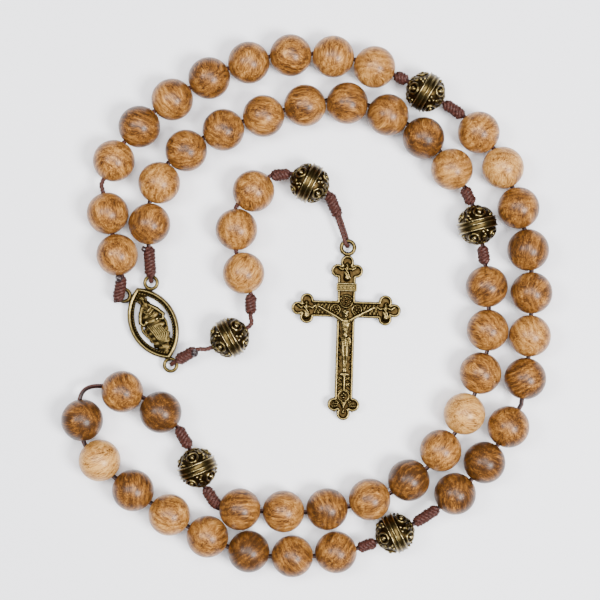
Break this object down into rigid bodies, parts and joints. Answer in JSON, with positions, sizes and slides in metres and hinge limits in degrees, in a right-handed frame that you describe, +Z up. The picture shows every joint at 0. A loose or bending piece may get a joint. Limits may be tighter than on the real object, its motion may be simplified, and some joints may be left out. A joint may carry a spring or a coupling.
{
  "type": "rosary",
  "caption": "Cord-strung rosary with round wooden decade beads, cast metal beads, an openwork centre medal and a pendant crucifix, lying folded on a flat surface.",
  "frame": {"origin": "on the surface it lies on, under the middle of the whole rosary", "axes": "+Z up from the surface; +Y runs up the crucifix's upright and along the longer side of the folded loop; +X to the right"},
  "size_m": [0.1179, 0.1304, 0.01],
  "materials": {
    "wood": "polished",
    "brass": "antique",
    "cord": "twisted"
  },
  "bodies": {
    "loop": {"loop_cord": "cord", "medal": "brass", "decade_1_end_beads": "wood", "decade_2_end_beads": "wood", "decade_3_end_beads": "wood", "decade_4_end_beads": "wood", "decade_5_end_beads": "wood"},
    "decade_1_bead_2": {"decade_1_bead_2": "wood"},
    "decade_1_bead_3": {"decade_1_bead_3": "wood"},
    "decade_1_bead_4": {"decade_1_bead_4": "wood"},
    "decade_1_bead_5": {"decade_1_bead_5": "wood"},
    "decade_1_bead_6": {"decade_1_bead_6": "wood"},
    "decade_1_bead_7": {"decade_1_bead_7": "wood"},
    "decade_1_bead_8": {"decade_1_bead_8": "wood"},
    "decade_1_bead_9": {"decade_1_bead_9": "wood"},
    "decade_2_bead_2": {"decade_2_bead_2": "wood"},
    "decade_2_bead_3": {"decade_2_bead_3": "wood"},
    "decade_2_bead_4": {"decade_2_bead_4": "wood"},
    "decade_2_bead_5": {"decade_2_bead_5": "wood"},
    "decade_2_bead_6": {"decade_2_bead_6": "wood"},
    "decade_2_bead_7": {"decade_2_bead_7": "wood"},
    "decade_2_bead_8": {"decade_2_bead_8": "wood"},
    "decade_2_bead_9": {"decade_2_bead_9": "wood"},
    "decade_3_bead_2": {"decade_3_bead_2": "wood"},
    "decade_3_bead_3": {"decade_3_bead_3": "wood"},
    "decade_3_bead_4": {"decade_3_bead_4": "wood"},
    "decade_3_bead_5": {"decade_3_bead_5": "wood"},
    "decade_3_bead_6": {"decade_3_bead_6": "wood"},
    "decade_3_bead_7": {"decade_3_bead_7": "wood"},
    "decade_3_bead_8": {"decade_3_bead_8": "wood"},
    "decade_3_bead_9": {"decade_3_bead_9": "wood"},
    "decade_4_bead_2": {"decade_4_bead_2": "wood"},
    "decade_4_bead_3": {"decade_4_bead_3": "wood"},
    "decade_4_bead_4": {"decade_4_bead_4": "wood"},
    "decade_4_bead_5": {"decade_4_bead_5": "wood"},
    "decade_4_bead_6": {"decade_4_bead_6": "wood"},
    "decade_4_bead_7": {"decade_4_bead_7": "wood"},
    "decade_4_bead_8": {"decade_4_bead_8": "wood"},
    "decade_4_bead_9": {"decade_4_bead_9": "wood"},
    "decade_5_bead_2": {"decade_5_bead_2": "wood"},
    "decade_5_bead_3": {"decade_5_bead_3": "wood"},
    "decade_5_bead_4": {"decade_5_bead_4": "wood"},
    "decade_5_bead_5": {"decade_5_bead_5": "wood"},
    "decade_5_bead_6": {"decade_5_bead_6": "wood"},
    "decade_5_bead_7": {"decade_5_bead_7": "wood"},
    "decade_5_bead_8": {"decade_5_bead_8": "wood"},
    "decade_5_bead_9": {"decade_5_bead_9": "wood"},
    "loop_metal_bead_1": {"loop_metal_bead_1": "brass"},
    "loop_metal_bead_2": {"loop_metal_bead_2": "brass"},
    "loop_metal_bead_3": {"loop_metal_bead_3": "brass"},
    "loop_metal_bead_4": {"loop_metal_bead_4": "brass"},
    "pendant_upper": {"pendant_cord_upper": "cord"},
    "pendant_middle": {"pendant_cord_middle": "cord"},
    "pendant_lower": {"pendant_cord_lower": "cord"},
    "crucifix": {"crucifix": "brass"},
    "pendant_metal_bead_1": {"pendant_metal_bead_1": "brass"},
    "pendant_metal_bead_2": {"pendant_metal_bead_2": "brass"},
    "pendant_wood_bead_1": {"pendant_wood_bead_1": "wood"},
    "pendant_wood_bead_2": {"pendant_wood_bead_2": "wood"},
    "pendant_wood_bead_3": {"pendant_wood_bead_3": "wood"}
  },
  "joints": [
    {"name": "decade_1_bead_2_turn", "type": "hinge", "parent": "loop", "child": "decade_1_bead_2", "pos_m": [-0.04793, 0.02242, 0.005], "axis": [-0.2163, 0.9763, 0], "continuous": true},
    {"name": "decade_1_bead_3_turn", "type": "hinge", "parent": "loop", "child": "decade_1_bead_3", "pos_m": [-0.04644, 0.03505, 0.005], "axis": [0.4883, 0.8727, 0], "continuous": true},
    {"name": "decade_1_bead_4_turn", "type": "hinge", "parent": "loop", "child": "decade_1_bead_4", "pos_m": [-0.04031, 0.04325, 0.005], "axis": [0.6983, 0.7158, 0], "continuous": true},
    {"name": "decade_1_bead_5_turn", "type": "hinge", "parent": "loop", "child": "decade_1_bead_5", "pos_m": [-0.0324, 0.04978, 0.005], "axis": [0.8355, 0.5495, 0], "continuous": true},
    {"name": "decade_1_bead_6_turn", "type": "hinge", "parent": "loop", "child": "decade_1_bead_6", "pos_m": [-0.02353, 0.05493, 0.005], "axis": [0.8916, 0.4527, 0], "continuous": true},
    {"name": "decade_1_bead_7_turn", "type": "hinge", "parent": "loop", "child": "decade_1_bead_7", "pos_m": [-0.01401, 0.05865, 0.005], "axis": [0.9622, 0.2722, 0], "continuous": true},
    {"name": "decade_1_bead_8_turn", "type": "hinge", "parent": "loop", "child": "decade_1_bead_8", "pos_m": [-0.00393, 0.06042, 0.005], "axis": [0.9974, 0.072, 0], "continuous": true},
    {"name": "decade_1_bead_9_turn", "type": "hinge", "parent": "loop", "child": "decade_1_bead_9", "pos_m": [0.0063, 0.06011, 0.005], "axis": [0.9912, -0.1321, 0], "continuous": true},
    {"name": "decade_2_bead_2_turn", "type": "hinge", "parent": "loop", "child": "decade_2_bead_2", "pos_m": [0.04708, 0.0334, 0.005], "axis": [0.4399, -0.898, 0], "continuous": true},
    {"name": "decade_2_bead_3_turn", "type": "hinge", "parent": "loop", "child": "decade_2_bead_3", "pos_m": [0.05081, 0.02374, 0.005], "axis": [0.2778, -0.9606, 0], "continuous": true},
    {"name": "decade_2_bead_4_turn", "type": "hinge", "parent": "loop", "child": "decade_2_bead_4", "pos_m": [0.05312, 0.01363, 0.005], "axis": [0.1652, -0.9863, 0], "continuous": true},
    {"name": "decade_2_bead_5_turn", "type": "hinge", "parent": "loop", "child": "decade_2_bead_5", "pos_m": [0.05393, 0.00333, 0.005], "axis": [-0.0087, -1, 0], "continuous": true},
    {"name": "decade_2_bead_6_turn", "type": "hinge", "parent": "loop", "child": "decade_2_bead_6", "pos_m": [0.05355, -0.00701, 0.005], "axis": [-0.0645, -0.9979, 0], "continuous": true},
    {"name": "decade_2_bead_7_turn", "type": "hinge", "parent": "loop", "child": "decade_2_bead_7", "pos_m": [0.05243, -0.01728, 0.005], "axis": [-0.1513, -0.9885, 0], "continuous": true},
    {"name": "decade_2_bead_8_turn", "type": "hinge", "parent": "loop", "child": "decade_2_bead_8", "pos_m": [0.0484, -0.02887, 0.005], "axis": [-0.5061, -0.8625, 0], "continuous": true},
    {"name": "decade_2_bead_9_turn", "type": "hinge", "parent": "loop", "child": "decade_2_bead_9", "pos_m": [0.04264, -0.03746, 0.005], "axis": [-0.6063, -0.7952, 0], "continuous": true},
    {"name": "decade_3_bead_2_turn", "type": "hinge", "parent": "loop", "child": "decade_3_bead_2", "pos_m": [-0.00357, -0.05997, 0.005], "axis": [-1, -0.0073, 0], "continuous": true},
    {"name": "decade_3_bead_3_turn", "type": "hinge", "parent": "loop", "child": "decade_3_bead_3", "pos_m": [-0.01403, -0.05884, 0.005], "axis": [-0.9754, 0.2203, 0], "continuous": true},
    {"name": "decade_3_bead_4_turn", "type": "hinge", "parent": "loop", "child": "decade_3_bead_4", "pos_m": [-0.02394, -0.05527, 0.005], "axis": [-0.8908, 0.4543, 0], "continuous": true},
    {"name": "decade_3_bead_5_turn", "type": "hinge", "parent": "loop", "child": "decade_3_bead_5", "pos_m": [-0.0331, -0.05002, 0.005], "axis": [-0.8423, 0.5389, 0], "continuous": true},
    {"name": "decade_3_bead_6_turn", "type": "hinge", "parent": "loop", "child": "decade_3_bead_6", "pos_m": [-0.04185, -0.04415, 0.005], "axis": [-0.8185, 0.5745, 0], "continuous": true},
    {"name": "decade_3_bead_7_turn", "type": "hinge", "parent": "loop", "child": "decade_3_bead_7", "pos_m": [-0.04986, -0.03697, 0.005], "axis": [-0.6649, 0.7469, 0], "continuous": true},
    {"name": "decade_3_bead_8_turn", "type": "hinge", "parent": "loop", "child": "decade_3_bead_8", "pos_m": [-0.05406, -0.02728, 0.005], "axis": [-0.0887, 0.9961, 0], "continuous": true},
    {"name": "decade_3_bead_9_turn", "type": "hinge", "parent": "loop", "child": "decade_3_bead_9", "pos_m": [-0.04444, -0.02043, 0.005], "axis": [0.9636, -0.2673, 0], "continuous": true},
    {"name": "decade_4_bead_2_turn", "type": "hinge", "parent": "loop", "child": "decade_4_bead_2", "pos_m": [-0.00566, -0.0492, 0.005], "axis": [0.9996, -0.0279, 0], "continuous": true},
    {"name": "decade_4_bead_3_turn", "type": "hinge", "parent": "loop", "child": "decade_4_bead_3", "pos_m": [0.00481, -0.04865, 0.005], "axis": [0.9914, 0.1309, 0], "continuous": true},
    {"name": "decade_4_bead_4_turn", "type": "hinge", "parent": "loop", "child": "decade_4_bead_4", "pos_m": [0.01505, -0.04633, 0.005], "axis": [0.9511, 0.309, 0], "continuous": true},
    {"name": "decade_4_bead_5_turn", "type": "hinge", "parent": "loop", "child": "decade_4_bead_5", "pos_m": [0.02443, -0.0417, 0.005], "axis": [0.8239, 0.5668, 0], "continuous": true},
    {"name": "decade_4_bead_6_turn", "type": "hinge", "parent": "loop", "child": "decade_4_bead_6", "pos_m": [0.0321, -0.03457, 0.005], "axis": [0.625, 0.7806, 0], "continuous": true},
    {"name": "decade_4_bead_7_turn", "type": "hinge", "parent": "loop", "child": "decade_4_bead_7", "pos_m": [0.0378, -0.02575, 0.005], "axis": [0.4545, 0.8908, 0], "continuous": true},
    {"name": "decade_4_bead_8_turn", "type": "hinge", "parent": "loop", "child": "decade_4_bead_8", "pos_m": [0.04166, -0.01599, 0.005], "axis": [0.2786, 0.9604, 0], "continuous": true},
    {"name": "decade_4_bead_9_turn", "type": "hinge", "parent": "loop", "child": "decade_4_bead_9", "pos_m": [0.04338, -0.00565, 0.005], "axis": [0.0461, 0.9989, 0], "continuous": true},
    {"name": "decade_5_bead_2_turn", "type": "hinge", "parent": "loop", "child": "decade_5_bead_2", "pos_m": [0.02799, 0.04054, 0.005], "axis": [-0.7645, 0.6446, 0], "continuous": true},
    {"name": "decade_5_bead_3_turn", "type": "hinge", "parent": "loop", "child": "decade_5_bead_3", "pos_m": [0.01943, 0.04608, 0.005], "axis": [-0.9012, 0.4334, 0], "continuous": true},
    {"name": "decade_5_bead_4_turn", "type": "hinge", "parent": "loop", "child": "decade_5_bead_4", "pos_m": [0.00965, 0.0489, 0.005], "axis": [-0.9934, 0.1148, 0], "continuous": true},
    {"name": "decade_5_bead_5_turn", "type": "hinge", "parent": "loop", "child": "decade_5_bead_5", "pos_m": [-0.00052, 0.04833, 0.005], "axis": [-0.974, -0.2267, 0], "continuous": true},
    {"name": "decade_5_bead_6_turn", "type": "hinge", "parent": "loop", "child": "decade_5_bead_6", "pos_m": [-0.01046, 0.04581, 0.005], "axis": [-0.9641, -0.2656, 0], "continuous": true},
    {"name": "decade_5_bead_7_turn", "type": "hinge", "parent": "loop", "child": "decade_5_bead_7", "pos_m": [-0.0201, 0.04249, 0.005], "axis": [-0.9241, -0.3822, 0], "continuous": true},
    {"name": "decade_5_bead_8_turn", "type": "hinge", "parent": "loop", "child": "decade_5_bead_8", "pos_m": [-0.02906, 0.0375, 0.005], "axis": [-0.8124, -0.5831, 0], "continuous": true},
    {"name": "decade_5_bead_9_turn", "type": "hinge", "parent": "loop", "child": "decade_5_bead_9", "pos_m": [-0.03553, 0.02976, 0.005], "axis": [-0.4297, -0.903, 0], "continuous": true},
    {"name": "loop_metal_bead_1_turn", "type": "hinge", "parent": "loop", "child": "loop_metal_bead_1", "pos_m": [0.02849, 0.0516, 0.00495], "axis": [0.8606, -0.5093, 0], "continuous": true},
    {"name": "loop_metal_bead_2_turn", "type": "hinge", "parent": "loop", "child": "loop_metal_bead_2", "pos_m": [0.02112, -0.05441, 0.00495], "axis": [-0.8988, -0.4383, 0], "continuous": true},
    {"name": "loop_metal_bead_3_turn", "type": "hinge", "parent": "loop", "child": "loop_metal_bead_3", "pos_m": [-0.02636, -0.03868, 0.00495], "axis": [0.3653, -0.9309, 0], "continuous": true},
    {"name": "loop_metal_bead_4_turn", "type": "hinge", "parent": "loop", "child": "loop_metal_bead_4", "pos_m": [0.0409, 0.01962, 0.00495], "axis": [-0.2432, 0.97, 0], "continuous": true},
    {"name": "pendant_swing", "type": "hinge", "parent": "loop", "child": "pendant_upper", "pos_m": [-0.03305, -0.01414, 0.00185], "axis": [0, 0, 1], "range_deg": [-8, 5]},
    {"name": "pendant_bend_above_beads", "type": "hinge", "parent": "pendant_upper", "child": "pendant_middle", "pos_m": [-0.01352, 0.00314, 0.005], "axis": [0, 0, 1], "range_deg": [-6, 5]},
    {"name": "pendant_bend_below_beads", "type": "hinge", "parent": "pendant_middle", "child": "pendant_lower", "pos_m": [-0.00876, 0.03144, 0.005], "axis": [0, 0, 1], "range_deg": [-8, 8]},
    {"name": "crucifix_swing", "type": "hinge", "parent": "pendant_lower", "child": "crucifix", "pos_m": [0.0099, 0.0143, 0.0019], "axis": [0, 0, 1], "range_deg": [-15, 15]},
    {"name": "pendant_metal_bead_1_turn", "type": "hinge", "parent": "pendant_upper", "child": "pendant_metal_bead_1", "pos_m": [-0.01862, -0.00741, 0.00495], "axis": [0.8764, 0.4816, 0], "continuous": true},
    {"name": "pendant_metal_bead_2_turn", "type": "hinge", "parent": "pendant_lower", "child": "pendant_metal_bead_2", "pos_m": [0.00062, 0.02969, 0.00495], "axis": [0.8919, -0.4523, 0], "continuous": true},
    {"name": "pendant_wood_bead_1_turn", "type": "hinge", "parent": "pendant_middle", "child": "pendant_wood_bead_1", "pos_m": [-0.01525, 0.00805, 0.005], "axis": [-0.3328, 0.943, 0], "continuous": true},
    {"name": "pendant_wood_bead_2_turn", "type": "hinge", "parent": "pendant_middle", "child": "pendant_wood_bead_2", "pos_m": [-0.01697, 0.01855, 0.005], "axis": [0.0033, 1, 0], "continuous": true},
    {"name": "pendant_wood_bead_3_turn", "type": "hinge", "parent": "pendant_middle", "child": "pendant_wood_bead_3", "pos_m": [-0.01285, 0.02779, 0.005], "axis": [0.7465, 0.6654, 0], "continuous": true}
  ]
}
